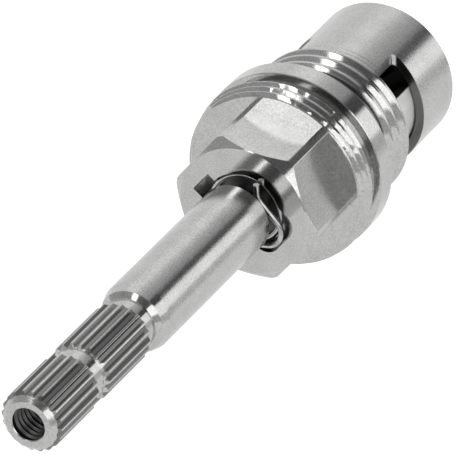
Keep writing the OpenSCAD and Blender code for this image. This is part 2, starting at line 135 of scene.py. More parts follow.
class CartridgeSpindleSizes(bpy.types.PropertyGroup):
    """Sizes of the spindle; heights are counted from the collar's seat face."""

    tip: length("Tip", "Height of the spindle's tip", 69.9)
    tip_chamfer: length("Tip chamfer", "Chamfer at the spindle's tip", 1.0)
    front_band: length("Front band", "Start of the front spline band", 59.5)
    rear_band_high: length("Rear band front", "End of the rear spline band", 57.8)
    rear_band: length("Rear band", "Start of the rear spline band", 46.8)
    spline_radius: length("Spline radius", "Radius over the spline's crests", 3.97)
    spline_depth: length("Spline depth", "Depth of the valleys between the teeth", 0.46)
    crest_width: length("Crest width", "Width of a tooth's crest", 0.22)
    valley_width: length("Valley width", "Width of a valley's floor", 0.42)
    teeth: IntProperty(name="Teeth", description="Number of spline teeth", default=20, min=12, max=30)
    groove_radius: length("Groove radius", "Radius of the grooves beside the spline", 3.43)
    shoulder: length("Shoulder", "Height of the shoulder behind the spline", 44.95)
    shoulder_radius: length("Shoulder radius", "Radius where the shoulder's two cones meet", 4.14)
    shoulder_steep: length("Steep cone", "Height of the shoulder's steep cone", 0.5)
    shoulder_taper: length("Shallow cone", "Height of the shoulder's shallow cone", 1.4)
    shank_radius: length("Shank radius", "Radius of the smooth shank", 4.55)
    shank_low: length("Shank end", "End of the shank at the clip groove", 17.8)
    clip_neck: length("Clip groove radius", "Radius of the clip groove's floor", 2.75)
    journal_high: length("Journal", "End of the journal at the clip groove", 14.2)
    journal_radius: length("Journal radius", "Radius of the journal in the body's bore", 4.88)
    ring_drop: length("Upper ring", "From the clip groove to the upper O-ring's", 3.4)
    ring_spacing: length("Ring spacing", "From one O-ring groove to the next", 6.0)
    ring_groove: length("Ring groove", "Width of an O-ring groove", 1.9)
    ring_floor: length("Ring floor", "Radius of an O-ring groove's floor", 3.28)
    square: length("Drive square", "Width of the square that carries the driver", 6.4)
    square_high: length("Square front", "From the seat face to the square", 2.2)
    square_length: length("Square length", "Length of the square", 4.0)
    screw_core: length("Screw core", "Radius over the screw thread's crests", 2.1)
    screw_root: length("Screw root", "Radius at the screw thread's bottom", 2.44)
    screw_depth: length("Screw depth", "Depth of the handle screw's hole", 14.0)
    screw_pitch: length("Screw pitch", "Pitch of the screw thread", 0.8)


class CartridgeClipSizes(bpy.types.PropertyGroup):
    """Sizes of the retaining clip and of the recesses that it sits in."""

    wire_radius: length("Wire radius", "Radius of the clip's wire", 0.38)
    bend_radius: length("Bend radius", "Bend radius of the clip's corner", 2.2)
    wire_gap: length("Wire gap", "Clearance between the wire and its neighbours", 0.12)
    slope: angle("Slope", "Direction of the wire's straight in the mouth", -14)
    ring_end: angle("Ring end", "Heading of the wire at the ring's end", -482)
    pocket_reach: length("Pocket reach", "Reach of the pocket from the axis", 6.1)
    pocket_depth: length("Pocket depth", "Depth of the pocket", 1.0)
    pocket_side: length("Pocket side", "Width of the pocket beyond the wire's straight", 4.15)
    pocket_far: length("Pocket far side", "Width of the pocket across the axis", 2.4)
    pocket_round: length("Pocket corner", "Radius of the pocket's corners", 1.9)
    notch_reach: length("Notch reach", "Reach of the removal notch from the axis", 6.15)
    notch_width: length("Notch width", "Width of the removal notch", 3.2)
    notch_side: length("Notch side", "From the axis to the notch's near side", 0.15)
    notch_depth: length("Notch depth", "Depth of the removal notch", 2.0)


class CartridgeFinishes(bpy.types.PropertyGroup):
    """Colours and gloss of the finishes."""

    plating: colour("Plating", "Colour of the plated metal", (0.63, 0.63, 0.625))
    body_gloss: share("Body roughness", "Roughness of the body's plating", 0.2)
    spindle_gloss: share("Spindle roughness", "Roughness of the spindle's plating", 0.18)
    wire: colour("Spring wire", "Colour of the clip's wire", (0.6, 0.6, 0.6))
    rubber: colour("Rubber", "Colour of the seals", (0.018, 0.018, 0.018))
    # The discs are dark: a dark ceramic, darkened also as painted shade for the unlit inside of the sleeve
    ceramic: colour("Ceramic", "Colour of the discs", (0.045, 0.045, 0.047))
    plastic: colour("Plastic", "Colour of the washer and the support ring", (0.72, 0.72, 0.7))
    driver: colour("Driver", "Colour of the driver", (0.96, 0.96, 0.94))


class CartridgeStudio(bpy.types.PropertyGroup):
    """The camera's place and the studio around the part."""

    camera_place: vector(
        "Camera place", "Where the camera stands", (0.29851, -0.73152, 0.51703), "TRANSLATION", "LENGTH"
    )
    camera_turn: vector("Camera turn", "How the camera is turned", CAMERA_TURN, "EULER", "ROTATION")
    lens: FloatProperty(
        name="Lens",
        description="Focal length for a 36 mm sensor",
        default=613.1,
        min=50.0,
        subtype="DISTANCE_CAMERA",
    )
    floor_drop: length("Floor drop", "Distance from the axis down to the floor", 75.0)
    tent_radius: length("Tent radius", "Radius of the light tent", 600.0)
    tent_light: FloatProperty(
        name="Tent light", description="Brightness of the tent's cloth", default=3.4, min=0.0
    )


def in_mm(group):
    """A property group's values, with lengths in millimetres and everything else as it is."""
    values = {}
    for name in group.__annotations__:
        value = getattr(group, name)
        is_length = group.bl_rna.properties[name].unit == "LENGTH"
        values[name] = value / MM if is_length else value
    return SimpleNamespace(**values)


# Shapes


def clean(bm, weld=1e-4):
    """Welds doubled vertices and turns the faces outwards."""
    bmesh.ops.remove_doubles(bm, verts=bm.verts, dist=weld)
    bmesh.ops.recalc_face_normals(bm, faces=bm.faces)
    return bm


def everything(bm):
    """All that a shape consists of, as the mesh operators take it."""
    return bm.verts[:] + bm.edges[:] + bm.faces[:]


def spin(bm, span, steps, **settings):
    """Sweeps all of a shape around the axis."""
    about = {"cent": (0, 0, 0), "axis": (0, 0, 1)}
    bmesh.ops.spin(bm, geom=everything(bm), angle=span, steps=steps, **about, **settings)


def face_around(bm, turn):
    """Turns a swept shape to its place around the axis."""
    bmesh.ops.rotate(bm, verts=bm.verts, cent=(0, 0, 0), matrix=Matrix.Rotation(turn, 3, "Z"))
    return clean(bm)


def bevel(bm, edges, width, segments, **settings):
    """Bevels edges evenly."""
    settings.update(geom=edges, offset=width, segments=segments)
    bmesh.ops.bevel(bm, affect="EDGES", profile=0.5, **settings)


def turned(outline, steps=144):
    """A lathe shape from a closed outline of (radius, height) points."""
    bm = bmesh.new()
    verts = [bm.verts.new((radius, 0, height)) for radius, height in outline]
    for a, b in zip(verts, verts[1:] + verts[:1]):
        if a.co.x > 0 or b.co.x > 0:
            bm.edges.new((a, b))
    spin(bm, math.tau, steps, use_merge=True)
    return clean(bm)


def helix(section, start, pitch, turns, steps=96, turn=0.0):
    """A ridge or a cutter whose section of (radius, height) points climbs around the axis."""
    bm = bmesh.new()
    bm.faces.new([bm.verts.new((radius, 0, start + height)) for radius, height in section])
    count = round(steps * turns)
    spin(bm, math.tau * turns, count, dvec=(0, 0, pitch * turns / count))
    return face_around(bm, turn)


def sector(inner, outer, middle, span, low, high):
    """A block of revolution that spans an angle around the axis."""
    bm = bmesh.new()
    corners = ((inner, low), (outer, low), (outer, high), (inner, high))
    bm.faces.new([bm.verts.new((radius, 0, height)) for radius, height in corners])
    spin(bm, span, 24)
    return face_around(bm, middle - span / 2)


def block(low, high, matrix=Matrix.Identity(4), rounded=None, radius=0.0):
    """A box between two corners; rounded picks the edges that get a radius."""
    bm = bmesh.new()
    size = Vector(high) - Vector(low)
    middle = (Vector(high) + Vector(low)) / 2
    bmesh.ops.create_cube(bm, size=1, matrix=Matrix.Translation(middle) @ Matrix.Diagonal((*size, 1)))
    if rounded:
        edges = [edge for edge in bm.edges if rounded(edge.verts[0].co, edge.verts[1].co)]
        bevel(bm, edges, radius, 12)
    bmesh.ops.transform(bm, matrix=matrix, verts=bm.verts)
    return clean(bm)


def add_object(bm, name):
    """Moves a shape into a new object of the scene."""
    mesh = bpy.data.meshes.new(name)
    bm.to_mesh(mesh)
    bm.free()
    added = bpy.data.objects.new(name, mesh)
    bpy.context.scene.collection.objects.link(added)
    return added


def drop(scratch):
    mesh = scratch.data
    bpy.data.objects.remove(scratch)
    bpy.data.meshes.remove(mesh)


def combine(first, second, operation):
    """Joins, cuts or intersects two closed shapes, and returns the result as a new bmesh."""
    base = add_object(first, "scratch")
    tool = add_object(second, "scratch")
    modifier = base.modifiers.new("combine", "BOOLEAN")
    modifier.operation = operation
    modifier.solver = "EXACT"
    modifier.object = tool
    graph = bpy.context.evaluated_depsgraph_get()
    mesh = bpy.data.meshes.new_from_object(base.evaluated_get(graph))
    result = bmesh.new()
    result.from_mesh(mesh)
    bpy.data.meshes.remove(mesh)
    drop(base)
    drop(tool)
    return result


def join(first, *others):
    for other in others:
        first = combine(first, other, "UNION")
    return first


def cut(first, *others):
    for other in others:
        first = combine(first, other, "DIFFERENCE")
    return first


def place(bm, name, body, material, node, sharp=SHARP_ANGLE):
    """Makes a piece of the object from a shape: shaded, in the frame, and riding on its body."""
    bmesh.ops.transform(bm, matrix=TO_FRAME, verts=bm.verts)
    for face in bm.faces:
        face.smooth = True
    for edge in bm.edges:
        edge.smooth = edge.is_manifold and edge.calc_face_angle() < sharp
    piece = add_object(bm, name)
    piece.data.materials.append(material)
    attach(piece, body)
    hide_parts(node)


# Finishes


def maths(operation, turned_round=False):
    """A method for an operator, which adds a maths node; turned_round puts the other value first."""

    def method(self, other):
        first, second = (other, self) if turned_round else (self, other)
        return self.finish.add("ShaderNodeMath", {"operation": operation}, {0: first, 1: second})

    return method


class Wire:
    """A socket that takes part in shader maths."""

    def __init__(self, finish, socket):
        self.finish = finish
        self.socket = socket

    __add__ = maths("ADD")
    __radd__ = __add__
    __sub__ = maths("SUBTRACT")
    __rsub__ = maths("SUBTRACT", turned_round=True)
    __mul__ = maths("MULTIPLY")
    __rmul__ = __mul__
    __truediv__ = maths("DIVIDE")
    __pow__ = maths("POWER")


class Finish:
    """One material's node tree, and the one way in which nodes are added to it."""

    def __init__(self, name, tree=None):
        if tree is None:
            self.material = bpy.data.materials.new(name)
            self.material.use_nodes = True
            tree = self.material.node_tree
        self.tree = tree
        self.tree.nodes.clear()

    def add(self, kind, settings=None, sockets=None, output=0):
        """Adds a node: its settings first, then the values or links of its sockets."""
        node = self.tree.nodes.new(kind)
        for name, value in (settings or {}).items():
            if name == "stops":
                self.set_stops(node.color_ramp, value)
            else:
                setattr(node, name, value)
        for name, value in (sockets or {}).items():
            if isinstance(value, Wire):
                self.tree.links.new(value.socket, node.inputs[name])
            else:
                node.inputs[name].default_value = value
        return Wire(self, node.outputs[output]) if node.outputs else None

    @staticmethod
    def set_stops(ramp, stops):
        """Fills a ramp with (place, grey) stops."""
        while len(ramp.elements) < len(stops):
            ramp.elements.new(1.0)
        for element, (place_on_ramp, grey) in zip(ramp.elements, stops):
            element.position = place_on_ramp
            element.color = (grey, grey, grey, 1.0)

    def parts(self, vector):
        """The X, Y and Z values of a vector."""
        split = self.add("ShaderNodeSeparateXYZ", {}, {0: vector})
        return [Wire(self, output) for output in split.socket.node.outputs]

    def step(self, value, low, high):
        """Goes smoothly from 0 at low to 1 at high."""
        settings = {"interpolation_type": "SMOOTHSTEP"}
        return self.add("ShaderNodeMapRange", settings, {"Value": value, "From Min": low, "From Max": high})

    def within(self, value, bands):
        """1 inside any of the bands of heights in millimetres, and 0 outside them."""
        soft = 0.005
        inside = 0
        for low, high in bands:
            above = self.step(value, (low - soft) * MM, (low + soft) * MM)
            below = self.step(value, (high - soft) * MM, (high + soft) * MM)
            inside = inside + (above - below)
        return inside

    def speckle(self, vector, per_metre, detail=3.0):
        sockets = {"Vector": vector, "Scale": per_metre, "Detail": detail, "Roughness": 0.6}
        return self.add("ShaderNodeTexNoise", {"noise_dimensions": "3D"}, sockets)

    def blend(self, factor, first, second):
        """Mixes two colours; a number that stands for a colour is written as four values."""
        sockets = {"Factor": factor, 6: first, 7: second}
        return self.add("ShaderNodeMix", {"data_type": "RGBA"}, sockets, output=2)

    def surface(self, **sockets):
        """Ends the tree with the main shader; names are the shader's sockets with _ for a space."""
        names = {name.replace("_", " "): value for name, value in sockets.items()}
        shader = self.add("ShaderNodeBsdfPrincipled", {}, names)
        self.add("ShaderNodeOutputMaterial", {}, {"Surface": shader})
        return self.material

    def bump(self, height, strength, depth):
        return self.add("ShaderNodeBump", {}, {"Height": height, "Strength": strength, "Distance": depth})


def rgba(values, shade=1.0):
    """A colour for a socket, darkened to a share of its brightness."""
    return (*(shade * value for value in values), 1.0)


# How many features of a finish's noise lie in a metre
TURNING_MARKS = 5200
PLATING_GRAIN = 5000
PLATING_PATCHES = 420
WIRE_SCRATCHES = 6000
WIRE_STAINS = 700
# How much of the roughness a polished band loses
POLISH = 0.6


class ShadedHollow(NamedTuple):
    """Where painted shade darkens the metal in a recess: inside a radius and between two heights, in
    millimetres.
    """

    # Radius inside which the painted shade is full, and radius where it has faded out
    shaded_radius: float
    bright: float
    low: float
    high: float
    # What is left of the metal's colour under the painted shade
    shade: float


def plated(name, bright, roughness, grain_bump, shaded_hollows, polished):
    """Plated and turned metal: rings left by the tool, a fine grain, painted shade in hollows and polished
    bands.

    polished lists the (low, high) heights in millimetres between which the metal shines.
    """
    finish = Finish(name)
    point = finish.add("ShaderNodeTexCoord", output="Object")
    x, y, z = finish.parts(point)
    height = 0 - y
    radius = (x * x + z * z) ** 0.5
    # This point hardly changes around the axis, so its noise runs in rings
    turned_point = finish.add("ShaderNodeCombineXYZ", {}, {"X": radius, "Y": y, "Z": 0.02 * x})
    rings = finish.speckle(turned_point, TURNING_MARKS, detail=4.0)
    grain = finish.speckle(point, PLATING_GRAIN)
    patches = finish.speckle(point, PLATING_PATCHES, detail=2.0)
    unpolished = 1 - POLISH * finish.within(height, polished)
    rough = roughness * unpolished + 0.12 * (grain - 0.5) + 0.06 * (rings - 0.5)
    wear = finish.step(patches * 0.2 + grain * 0.8, 0.34, 0.66)
    tone = finish.blend(wear, rgba(bright, 0.76), rgba(bright))
    # Painted shade: inside each hollow the colour is darkened to its share, and the metal is made a little
    # rougher
    for hollow in shaded_hollows:
        inside = 1 - finish.step(radius, hollow.shaded_radius * MM, hollow.bright * MM)
        inside = inside * finish.within(height, [(hollow.low, hollow.high)])
        tone = finish.blend(inside, tone, rgba(bright, hollow.shade))
        rough = rough + 0.15 * (1 - hollow.shade) * inside
    relief = finish.bump(rings * 0.3 + grain * (grain_bump * unpolished), 1.0, 0.01 * MM)
    return finish.surface(Base_Color=tone, Metallic=1.0, Roughness=rough, Normal=relief)


def drawn_wire(name, bright, roughness):
    """Cold-drawn spring wire: smooth, with faint scratches and stains."""
    finish = Finish(name)
    point = finish.add("ShaderNodeTexCoord", output="Object")
    scratches = finish.speckle(point, WIRE_SCRATCHES)
    stains = finish.step(finish.speckle(point, WIRE_STAINS, detail=2.0), 0.35, 0.65)
    tone = finish.blend(stains, rgba(bright, 0.72), rgba(bright))
    rough = roughness + 0.12 * (scratches - 0.5)
    relief = finish.bump(scratches, 0.5, 0.005 * MM)
    return finish.surface(Base_Color=tone, Metallic=1.0, Roughness=rough, Normal=relief)


def moulded(name, tone, roughness, per_metre, depth, shaded_within=0.0):
    """Rubber, plastic or ceramic with a fine texture.

    depth is the texture's depth, and the last argument the radius inside which painted shade darkens the
    part almost to black, in millimetres.
    """
    finish = Finish(name)
    point = finish.add("ShaderNodeTexCoord", output="Object")
    texture = finish.speckle(point, per_metre)
    cloud = finish.step(finish.speckle(point, per_metre / 12, detail=2.0), 0.3, 0.7)
    shade = finish.blend(cloud, rgba(tone, 0.85), rgba(tone))
    # Painted shade: near the axis the part lies in the shadow inside the sleeve, so it is darkened there
    if shaded_within:
        x, _, z = finish.parts(point)
        inside = 1 - finish.step((x * x + z * z) ** 0.5, (shaded_within - 0.1) * MM, shaded_within * MM)
        shade = finish.blend(inside, shade, rgba(tone, 0.05))
    rough = roughness + 0.16 * (texture - 0.5)
    relief = finish.bump(texture, 0.6, depth * MM)
    return finish.surface(Base_Color=shade, Roughness=rough, Normal=relief)


def rubber(looks):
    """The seals' rubber, made once."""
    name = "seal_rubber"
    return bpy.data.materials.get(name) or moulded(name, looks.rubber, 0.5, 6000, 0.006)


def finish_node(node, material):
    """Gives a CAD node that stays in view its finish."""
    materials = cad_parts[node].data.materials
    materials.clear()
    materials.append(material)


# Body


def turned_part(s):
    """Collar, seat relief, thread core and sleeve."""
    edge = s.edge_break * 2
    past = 0.1
    thread_low = -s.relief_length - s.thread_length

    def scribed(height, depth=0.06, rise=0.04, width=0.12):
        """A fine line that the turning tool left around the sleeve."""
        floor = (s.sleeve_radius - depth, height - rise)
        return [(s.sleeve_radius, height), floor, (s.sleeve_radius, height - width)]

    outline = [
        (0, s.collar_front),
        (s.collar_front_radius - edge, s.collar_front),
        (s.collar_front_radius, s.collar_front - edge),
        (s.collar_radius - s.fine_depth, s.groove_high + edge),
        (s.collar_radius - s.fine_depth - edge, s.groove_high),
        (s.groove_radius, s.groove_high),
        (s.groove_radius, s.groove_low + s.groove_draft),
        (s.collar_radius - edge, s.groove_low),
        (s.collar_radius, s.groove_low - edge),
        (s.collar_radius, edge),
        (s.collar_radius - edge, 0),
        (s.relief_radius, 0),
        (s.relief_radius, -s.relief_length),
        (s.thread_root, -s.relief_length - past),
        (s.thread_root, thread_low - past),
        (s.sleeve_radius - edge, thread_low - past),
        (s.sleeve_radius, thread_low - past - edge),
        *scribed(thread_low - 0.75),
        *scribed(thread_low - 1.5),
        (s.sleeve_radius, edge - s.sleeve_length),
        (s.sleeve_radius - edge, -s.sleeve_length),
        (0, -s.sleeve_length),
    ]
    return turned(outline)


def seat_ring(s):
    """The O-ring that lies on the seat face, with the flash of its mould."""
    steps = 48
    flash = 0.03
    outline = []
    for i in range(steps):
        t = math.tau * i / steps
        radius = s.relief_radius + s.seat_ring * (1 + math.cos(t))
        outline.append((radius + flash if i == 0 else radius, s.seat_ring * (math.sin(t) - 1)))
    return turned(outline)


def hexagon(s):
    """A turned blank with six flats milled on it, and the edges of the flats broken."""
    least_area = 30

    def is_flat(face):
        return abs(face.normal.z) < 0.01 and face.calc_area() > least_area

    outline = [
        (0, s.groove_low),
        (s.hex_corner, s.groove_low),
        (s.hex_corner, s.face - s.corner_chamfer),
        (s.face_radius, s.face),
        (0, s.face),
    ]
    bm = turned(outline)
    for side in range(6):
        normal = Matrix.Rotation(math.radians(30 + 60 * side), 3, "Z") @ Vector((1, 0, 0))
        plane = {"plane_co": normal * s.hex_flat, "plane_no": normal}
        milled = bmesh.ops.bisect_plane(bm, geom=everything(bm), clear_outer=True, **plane)
        rim = [item for item in milled["geom_cut"] if isinstance(item, bmesh.types.BMEdge)]
        bmesh.ops.edgeloop_fill(bm, edges=rim)
    clean(bm)
    sharp = [edge for edge in bm.edges if edge.is_manifold and edge.calc_face_angle() > SHARP_ANGLE]
    rims = [edge for edge in sharp if any(is_flat(face) for face in edge.link_faces)]
    bevel(bm, rims, s.edge_break, 1, clamp_overlap=True)
    return bm


def bores(s):
    """The spindle's bore with a broken mouth, and the chamber for the discs."""
    past = 1.0
    edge = s.edge_break * 2
    outline = [
        (0, s.face + past),
        (s.bore + edge + past, s.face + past),
        (s.bore, s.face - edge),
        (s.bore, -s.inner_shoulder),
        (s.sleeve_bore, -s.inner_shoulder),
        (s.sleeve_bore, -s.sleeve_length + edge),
        (s.sleeve_bore + edge + past, -s.sleeve_length - past),
        (0, -s.sleeve_length - past),
    ]
    return turned(outline)


def windows(s):
    """Cutters for the two milled windows, and for the fixed disc's keys."""
    past = 1.0
    reach = s.sleeve_radius + past
    key_reach = 8.84
    key_half = 2.0
    key_front = -19.5

    def inner_edge(a, b):
        return a.x < s.window_flat + 0.01 and b.x < s.window_flat + 0.01 and abs(a.y - b.y) > 1

    cutters = []
    for half in (0, math.pi):
        turn = Matrix.Rotation(s.window_turn + half, 4, "Z")
        low = (s.window_flat, -reach, -s.window_high - s.window_length)
        high = (reach, reach, -s.window_high)
        cutters.append(block(low, high, turn, inner_edge, s.window_corner))
    key_turn = Matrix.Rotation(math.radians(90), 4, "Z")
    low = (-key_reach, -key_half, -s.sleeve_length - past)
    cutters.append(block(low, (key_reach, key_half, key_front), key_turn))
    return cutters


def clip_mouth(s, clip):
    """Cutters for the clip's pocket and for the notch that frees the clip."""
    past = 1.0
    notch_round = 0.12

    def outer_corner(a, b):
        return min(a.x, b.x) > clip.pocket_reach - 0.01 and abs(a.z - b.z) > 0.5

    def upright(a, b):
        return abs(a.z - b.z) > 0.5

    pocket = block(
        (0, -clip.pocket_far, s.face - clip.pocket_depth),
        (clip.pocket_reach, clip.pocket_side, s.face + past),
        TO_MOUTH,
        outer_corner,
        clip.pocket_round,
    )
    notch = block(
        (-clip.notch_reach, clip.notch_side - clip.notch_width, s.face - clip.notch_depth),
        (0, clip.notch_side, s.face + past),
        TO_MOUTH,
        upright,
        notch_round,
    )
    return [pocket, notch]


def stop_ribs(s):
    """Two ribs in the chamber that the driver's lugs stop at."""
    inner = 7.0
    outer = s.sleeve_bore + 0.3
    middle = math.radians(225)
    span = math.radians(48)
    low = -6.2
    high = -2.7
    return [sector(inner, outer, middle + half, span, low, high) for half in (0, math.pi)]


def pipe_thread(s):
    """A right-hand pipe thread, trimmed to the chamfers at both ends."""
    low = -s.relief_length - s.thread_length
    root = s.thread_root - 0.05
    crest = s.thread_radius
    lean = s.thread_flank / 2
    arc_steps = 7
    arc = [(math.pi / 2 - lean) * (1 - i / arc_steps) for i in range(arc_steps)]
    upper = [(crest - s.thread_round * (1 - math.cos(t)), s.thread_round * math.sin(t)) for t in arc]
    foot = upper[0][1] + (upper[0][0] - root) * math.tan(lean)
    flank = [(root, foot)] + upper
    section = flank + [(crest, 0)] + [(radius, -height) for radius, height in reversed(flank)]
    # Height of the crest on the camera's side that is nearest to the relief, and the turns below it
    first_crest = -4.07
    turns_below = 4
    start = first_crest - turns_below * s.thread_pitch
    ridge = helix(section, start, s.thread_pitch, turns_below + 2, turn=CAMERA_SIDE)
    worn_from = crest - 0.06
    for vert in ridge.verts:
        if vert.co.xy.length > worn_from:
            vert.co.xy *= 1 - 0.004 * max(0, noise.noise(vert.co * 1.7))
    past = 0.1
    rear_chamfer = 0.5
    front_chamfer = 0.6
    outline = [
        (root - 1, low),
        (crest - rear_chamfer, low),
        (crest + past, low + rear_chamfer + past),
        (crest + past, -s.relief_length - front_chamfer - past),
        (crest - front_chamfer, -s.relief_length),
        (root - 1, -s.relief_length),
    ]
    return combine(ridge, turned(outline), "INTERSECT")


def fine_thread(s):
    """Fine, slightly torn crests that follow the collar's conical front."""
    half = s.fine_pitch / 2
    sunk = 0.15
    flank = [(-sunk, 0.95 * half), (0.6 * s.fine_depth, 0.4 * half), (s.fine_depth, 0.12 * half)]
    section = [(out, -up) for out, up in flank] + flank[::-1]
    turns = 3.5
    foot = s.collar_radius - s.fine_depth
    slope = (foot - s.collar_front_radius) / (s.collar_front - s.groove_high)
    ridge = helix(
        [(foot + out, up) for out, up in section],
        s.groove_high - half,
        s.fine_pitch,
        turns,
        steps=320,
        turn=math.radians(-100),
    )
    for vert in ridge.verts:
        radius = vert.co.xy.length
        lowered = radius - slope * (vert.co.z - s.groove_high)
        if radius > foot + s.fine_depth / 2:
            # Slow waves along the crests, and burrs where the noise is high
            burr = max(0, noise.noise(vert.co * 1.9) - 0.3)
            lowered -= 0.05 * abs(noise.noise(vert.co * 0.6)) + 0.2 * burr
            vert.co.z += 0.05 * noise.noise(vert.co * 0.8) + 0.3 * burr
        vert.co.xy *= lowered / radius
    outside = s.collar_radius + 0.05
    front = s.collar_front - 0.02
    outline = [
        (foot - 2, s.groove_high),
        (outside - 0.1, s.groove_high),
        (outside, s.groove_high + 0.1),
        (outside, s.collar_front - 0.35),
        (s.collar_front_radius, front),
        (foot - 2, front),
    ]
    return combine(ridge, turned(outline), "INTERSECT")


class CARTRIDGE_OT_body(bpy.types.Operator):
    """Model the body: hexagon, collar, threads, sleeve and flow windows"""

    bl_idname = "cartridge.body"
    bl_label = "Body"

    def execute(self, context):
        s = in_mm(context.scene.cartridge_body)
        clip = in_mm(context.scene.cartridge_clip)
        looks = context.scene.cartridge_finishes
        hair = 0.02
        sleeve = s.sleeve_radius
        mouth_floor = s.face - clip.notch_depth - 0.5
        window_low = -s.window_high - s.window_length
        chamber_low = 1 - s.sleeve_length
        place(seat_ring(s), "seat_ring", "housing", rubber(looks), "seat_o_ring")
        metal = plated(
            "body_plating",
            looks.plating,
            looks.body_gloss,
            0.6,
            # Painted shade in the seat relief, the clip's mouth and notch, the chamber inside the sleeve
            # and the end walls of the windows
            shaded_hollows=[
                ShadedHollow(s.relief_radius + 0.1, s.relief_radius + 0.3, -s.relief_length, 0, 0.4),
                ShadedHollow(clip.notch_reach + 0.1, clip.notch_reach + 0.3, mouth_floor, s.face - 0.04, 0.5),
                ShadedHollow(s.sleeve_bore + hair, s.sleeve_bore + 0.08, chamber_low, -s.inner_shoulder, 0.1),
                ShadedHollow(sleeve - 0.12, sleeve - hair, window_low - hair, window_low + hair, 0.35),
            ],
            polished=[
                (-s.relief_length - s.thread_length, s.collar_front + hair),
                (s.face - s.corner_chamfer, s.face + hair),
            ],
        )
        shape = join(turned_part(s), hexagon(s))
        shape = cut(shape, bores(s), *windows(s), *clip_mouth(s, clip))
        shape = join(shape, *stop_ribs(s), pipe_thread(s), fine_thread(s))
        place(shape, "turned_body", "housing", metal, "valve_body")
        return {"FINISHED"}


# Spindle


def spline_bar(s):
    """The toothed bar before its bands are turned."""
    bm = bmesh.new()
    pitch = math.tau / s.teeth
    root = s.spline_radius - s.spline_depth
    crest_half = math.asin(s.crest_width / 2 / s.spline_radius)
    valley_half = math.asin(s.valley_width / 2 / root)
    corners = (
        (s.spline_radius, -crest_half),
        (s.spline_radius, crest_half),
        (root, pitch / 2 - valley_half),
        (root, pitch / 2 + valley_half),
    )
    verts = []
    for tooth in range(s.teeth):
        for radius, turn in corners:
            t = CAMERA_SIDE + tooth * pitch + turn
            verts.append(bm.verts.new((radius * math.cos(t), radius * math.sin(t), s.rear_band)))
    bar = bm.faces.new(verts)
    grown = bmesh.ops.extrude_face_region(bm, geom=[bar])
    top = [item for item in grown["geom"] if isinstance(item, bmesh.types.BMVert)]
    bmesh.ops.translate(bm, verts=top, vec=(0, 0, s.tip - s.rear_band))
    crest_break = 0.04
    upright = [edge for edge in bm.edges if abs(edge.verts[0].co.z - edge.verts[1].co.z) > 1]
    crests = [edge for edge in upright if edge.verts[0].co.xy.length > root + 0.1]
    bevel(bm, crests, crest_break, 2)
    return clean(bm)


def spline_envelope(s):
    """What the lathe leaves of the bar: tip chamfer, groove and bevelled tooth ends."""
    past = 1.0
    outside = s.spline_radius + past
    front_bevel = s.spline_radius - s.groove_radius
    rear_bevel = 0.18
    stub = s.rear_band - 0.3
    outline = [
        (0, stub),
        (s.groove_radius, stub),
        (s.groove_radius, s.rear_band),
        (outside, s.rear_band + rear_bevel + past),
        (outside, s.rear_band_high - front_bevel - past),
        (s.groove_radius, s.rear_band_high),
        (s.groove_radius, s.front_band),
        (outside, s.front_band + rear_bevel + past),
        (outside, s.tip - s.tip_chamfer - past),
        (s.spline_radius - s.tip_chamfer, s.tip),
        (0, s.tip),
    ]
    return turned(outline)


def spindle_core(s):
    """Shoulder, shank, clip groove and journal with its two O-ring grooves."""
    edge = 0.12
    ring_tops = (s.journal_high - s.ring_drop, s.journal_high - s.ring_drop - s.ring_spacing)
    journal = [(s.journal_radius - edge, s.journal_high), (s.journal_radius, s.journal_high - edge)]
    for top in ring_tops:
        journal += [
            (s.journal_radius, top),
            (s.ring_floor, top),
            (s.ring_floor, top - s.ring_groove),
            (s.journal_radius, top - s.ring_groove),
        ]
    inside_bar = s.rear_band + 0.5
    neck = s.groove_radius - 0.03
    steep_low = s.shoulder - s.shoulder_steep
    taper_low = steep_low - s.shoulder_taper
    outline = [
        (0, inside_bar),
        (neck, inside_bar),
        (neck, s.shoulder),
        (s.shoulder_radius - 0.06, steep_low + 0.05),
        (s.shoulder_radius, steep_low - 0.05),
        (s.shank_radius - 0.03, taper_low + 0.1),
        (s.shank_radius, taper_low - 0.15),
        (s.shank_radius, s.shank_low + edge),
        (s.shank_radius - edge, s.shank_low),
        (s.clip_neck, s.shank_low),
        (s.clip_neck, s.journal_high),
        *journal,
        (s.journal_radius, -s.square_high),
        (0, -s.square_high),
    ]
    return turned(outline)


def screw_hole(s):
    """The hole in the tip, as wide as the thread's root behind a short lip."""
    past = 1.0
    edge = 0.1
    lip = 0.3
    drill_cone = 1
    outline = [
        (0, s.tip + past),
        (s.screw_core + edge + past, s.tip + past),
        (s.screw_core, s.tip - edge),
        (s.screw_core, s.tip - lip),
        (s.screw_root, s.tip - 2 * lip),
        (s.screw_root, s.tip - s.screw_depth + drill_cone),
        (0, s.tip - s.screw_depth),
    ]
    return turned(outline, steps=96)


def screw_thread(s):
    """The handle screw's thread, cut into the hole's wall."""
    root = s.screw_root + 0.08
    crest = s.screw_core + 0.02
    half = s.screw_pitch / 2
    foot_share = 0.85
    crest_share = 0.18
    section = [
        (root, -foot_share * half),
        (crest, -crest_share * half),
        (crest, crest_share * half),
        (root, foot_share * half),
    ]
    turns = 11
    first_crest = s.tip - 1.1
    return helix(section, first_crest - turns * s.screw_pitch, s.screw_pitch, turns, steps=48)


def square_end(s):
    """The square that carries the driver, and its riveted head."""
    half = s.square / 2
    low = -s.square_high - s.square_length
    square = block((-half, -half, low - 0.1), (half, half, 0))
    head_low = low - 0.8
    head_top = half + 0.7
    head_end = half + 0.5
    head = turned([(0, low), (head_top, low), (head_end, head_low), (0, head_low)], steps=64)
    return [square, head]


